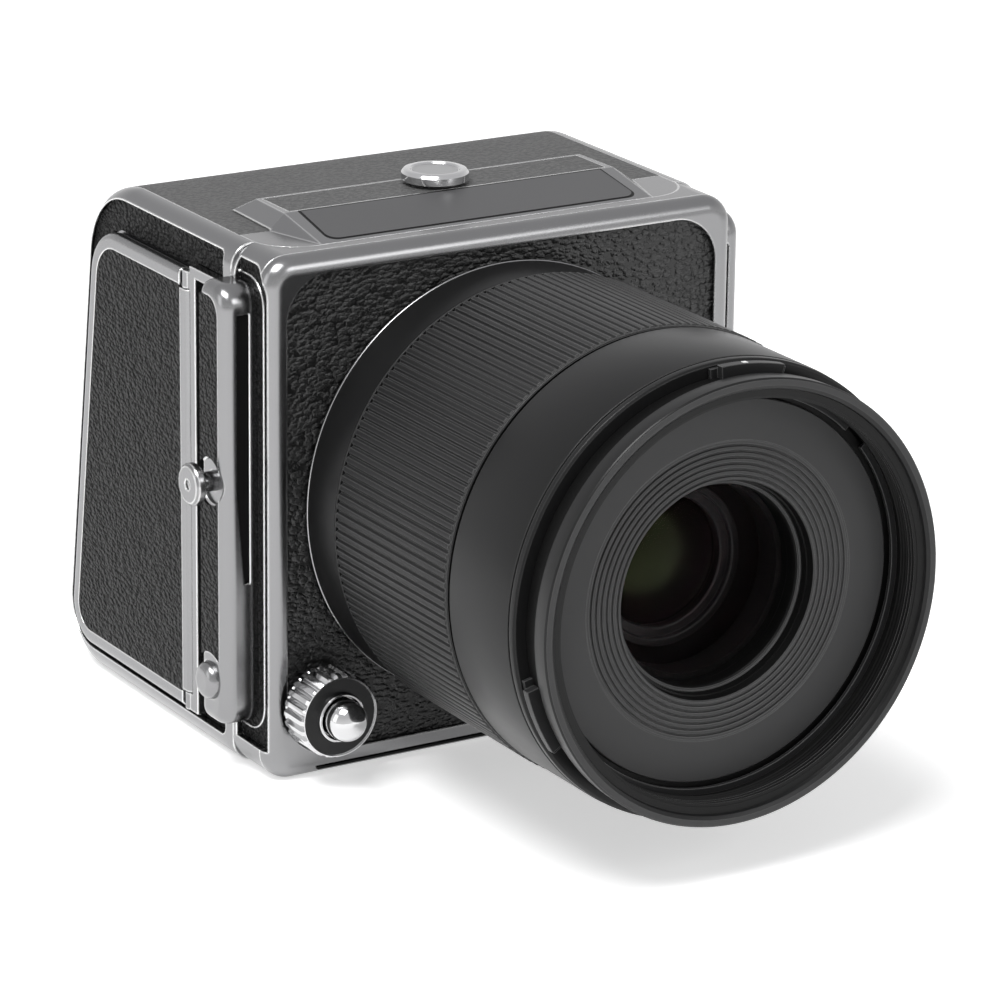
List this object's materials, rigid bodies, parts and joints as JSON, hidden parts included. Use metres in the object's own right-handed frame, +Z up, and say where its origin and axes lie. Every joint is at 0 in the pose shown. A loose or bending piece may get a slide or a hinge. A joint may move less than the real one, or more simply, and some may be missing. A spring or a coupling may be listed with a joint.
{
  "type": "medium format digital camera",
  "caption": "Box-shaped digital camera with a thin chrome-framed body, a leather-clad digital back with side doors and a tilting screen, and a large lens with a ribbed focus ring.",
  "frame": {"origin": "mouth of the tripod socket, in the middle of the underside of the thin body", "axes": "+X to the right seen from the front, +Y to the rear (the lens points along -Y), +Z up"},
  "size_m": [0.1096, 0.1509, 0.0959],
  "materials": {
    "chrome_trim": "satin",
    "back_housing": "satin",
    "body_housing": "satin",
    "inner_casting": "matte",
    "black_leather": "grained",
    "black_plates": "satin",
    "lens_shell": "satin",
    "steel_mount": "brushed",
    "lens_inner": "matte",
    "optical_glass": "coated",
    "screen_pane": "gloss",
    "screen_shell": "satin",
    "black_plastic": "matte",
    "button_plastic": "gloss",
    "board": "matte",
    "sensor_glass": "gloss"
  },
  "bodies": {
    "camera_body": {"front_frame": "chrome_trim", "body_shell": "body_housing", "base_plate": "body_housing", "chassis": "inner_casting", "front_leather": "black_leather", "lens_mount": "steel_mount", "contact_block": "black_plastic", "top_plate": "chrome_trim", "nameplate": "black_plates", "hood_leather": "black_leather", "field_leathers": "black_leather", "side_block_left": "chrome_trim", "side_block_right": "chrome_trim", "block_leathers": "black_leather", "strap_lugs": "chrome_trim", "back_shell": "back_housing", "top_leather": "black_leather", "side_leathers": "black_leather", "door_frames": "chrome_trim", "door_pins": "steel_mount", "battery_bay": "black_plastic", "battery": "black_plastic", "memory_cards": "black_plastic", "back_front_plate": "inner_casting", "sensor": "sensor_glass", "main_board": "board", "rear_cover": "screen_shell"},
    "lens": {"lens_bayonet": "steel_mount", "lens_base_ring": "lens_shell", "lens_barrel": "lens_shell", "front_barrel": "lens_shell", "filter_ring": "lens_shell", "front_plate": "lens_shell", "front_element": "optical_glass", "middle_element": "optical_glass", "shutter_unit": "lens_inner", "guide_rods": "steel_mount", "rear_cell": "lens_inner", "rear_element": "optical_glass"},
    "focus_ring": {"focus_ring": "lens_shell"},
    "focus_group": {"focus_carrier": "lens_inner", "focus_element": "optical_glass"},
    "lens_lock_pin": {"lens_lock_pin": "steel_mount"},
    "lens_release_button": {"lens_release_button": "chrome_trim"},
    "back_release_knob": {"back_release_knob": "chrome_trim"},
    "control_dial": {"control_dial": "chrome_trim", "dial_face": "black_plates"},
    "shutter_button": {"shutter_button": "chrome_trim"},
    "battery_door": {"battery_door": "chrome_trim", "battery_door_leather": "black_leather"},
    "port_door": {"port_door": "chrome_trim", "port_door_leather": "black_leather"},
    "tilting_screen": {"screen_frame": "screen_shell", "screen_glass": "screen_pane"},
    "rear_button_1": {"rear_button_1": "button_plastic"},
    "rear_button_2": {"rear_button_2": "button_plastic"},
    "rear_button_3": {"rear_button_3": "button_plastic"},
    "rear_button_4": {"rear_button_4": "button_plastic"},
    "rear_button_5": {"rear_button_5": "button_plastic"}
  },
  "joints": [
    {"name": "lens_twist", "type": "hinge", "parent": "camera_body", "child": "lens", "pos_m": [0, -0.00935, 0.0471], "axis": [0, -1, 0], "range_deg": [0, 60]},
    {"name": "focus_ring_turn", "type": "hinge", "parent": "lens", "child": "focus_ring", "pos_m": [0, -0.035, 0.0471], "axis": [0, -1, 0], "continuous": true},
    {"name": "focus_group_travel", "type": "slide", "parent": "lens", "child": "focus_group", "axis": [0, -1, 0], "range_m": [0, 0.003]},
    {"name": "shutter_button_press", "type": "slide", "parent": "camera_body", "child": "shutter_button", "axis": [0, 1, 0], "range_m": [0, 0.001], "stiffness_N_per_m": 800, "springref_m": -0.001},
    {"name": "control_dial_turn", "type": "hinge", "parent": "camera_body", "child": "control_dial", "pos_m": [-0.036, -0.0118, 0.0132], "axis": [0, -1, 0], "continuous": true},
    {"name": "lens_release_press", "type": "slide", "parent": "camera_body", "child": "lens_release_button", "axis": [1, 0, 0], "range_m": [0, 0.001], "stiffness_N_per_m": 1200, "springref_m": -0.001},
    {"name": "lens_lock_pin_travel", "type": "slide", "parent": "camera_body", "child": "lens_lock_pin", "axis": [0, 1, 0], "range_m": [0, 0.0012]},
    {"name": "back_release_push", "type": "slide", "parent": "camera_body", "child": "back_release_knob", "axis": [1, 0, 0], "range_m": [0, 0.003], "stiffness_N_per_m": 600, "springref_m": -0.001},
    {"name": "battery_door_hinge", "type": "hinge", "parent": "camera_body", "child": "battery_door", "pos_m": [-0.0451, 0.0205, 0.0431], "axis": [0, 0, 1], "range_deg": [0, 100]},
    {"name": "port_door_hinge", "type": "hinge", "parent": "camera_body", "child": "port_door", "pos_m": [0.0451, 0.0205, 0.0431], "axis": [0, 0, -1], "range_deg": [0, 100]},
    {"name": "screen_tilt", "type": "hinge", "parent": "camera_body", "child": "tilting_screen", "pos_m": [0, 0.06168, 0.07248], "axis": [1, 0, 0], "range_deg": [0, 90]},
    {"name": "rear_button_1_press", "type": "slide", "parent": "camera_body", "child": "rear_button_1", "axis": [0, -0.9901, -0.1404], "range_m": [0, 0.0004], "stiffness_N_per_m": 1500, "springref_m": -0.0004},
    {"name": "rear_button_2_press", "type": "slide", "parent": "camera_body", "child": "rear_button_2", "axis": [0, -0.9901, -0.1404], "range_m": [0, 0.0004], "stiffness_N_per_m": 1500, "springref_m": -0.0004},
    {"name": "rear_button_3_press", "type": "slide", "parent": "camera_body", "child": "rear_button_3", "axis": [0, -0.9901, -0.1404], "range_m": [0, 0.0004], "stiffness_N_per_m": 1500, "springref_m": -0.0004},
    {"name": "rear_button_4_press", "type": "slide", "parent": "camera_body", "child": "rear_button_4", "axis": [0, -0.9901, -0.1404], "range_m": [0, 0.0004], "stiffness_N_per_m": 1500, "springref_m": -0.0004},
    {"name": "rear_button_5_press", "type": "slide", "parent": "camera_body", "child": "rear_button_5", "axis": [0, -0.9901, -0.1404], "range_m": [0, 0.0004], "stiffness_N_per_m": 1500, "springref_m": -0.0004}
  ],
  "couplings": [
    {"joint": "lens_lock_pin_travel", "follows": "lens_release_press", "ratio": 1.2}
  ]
}
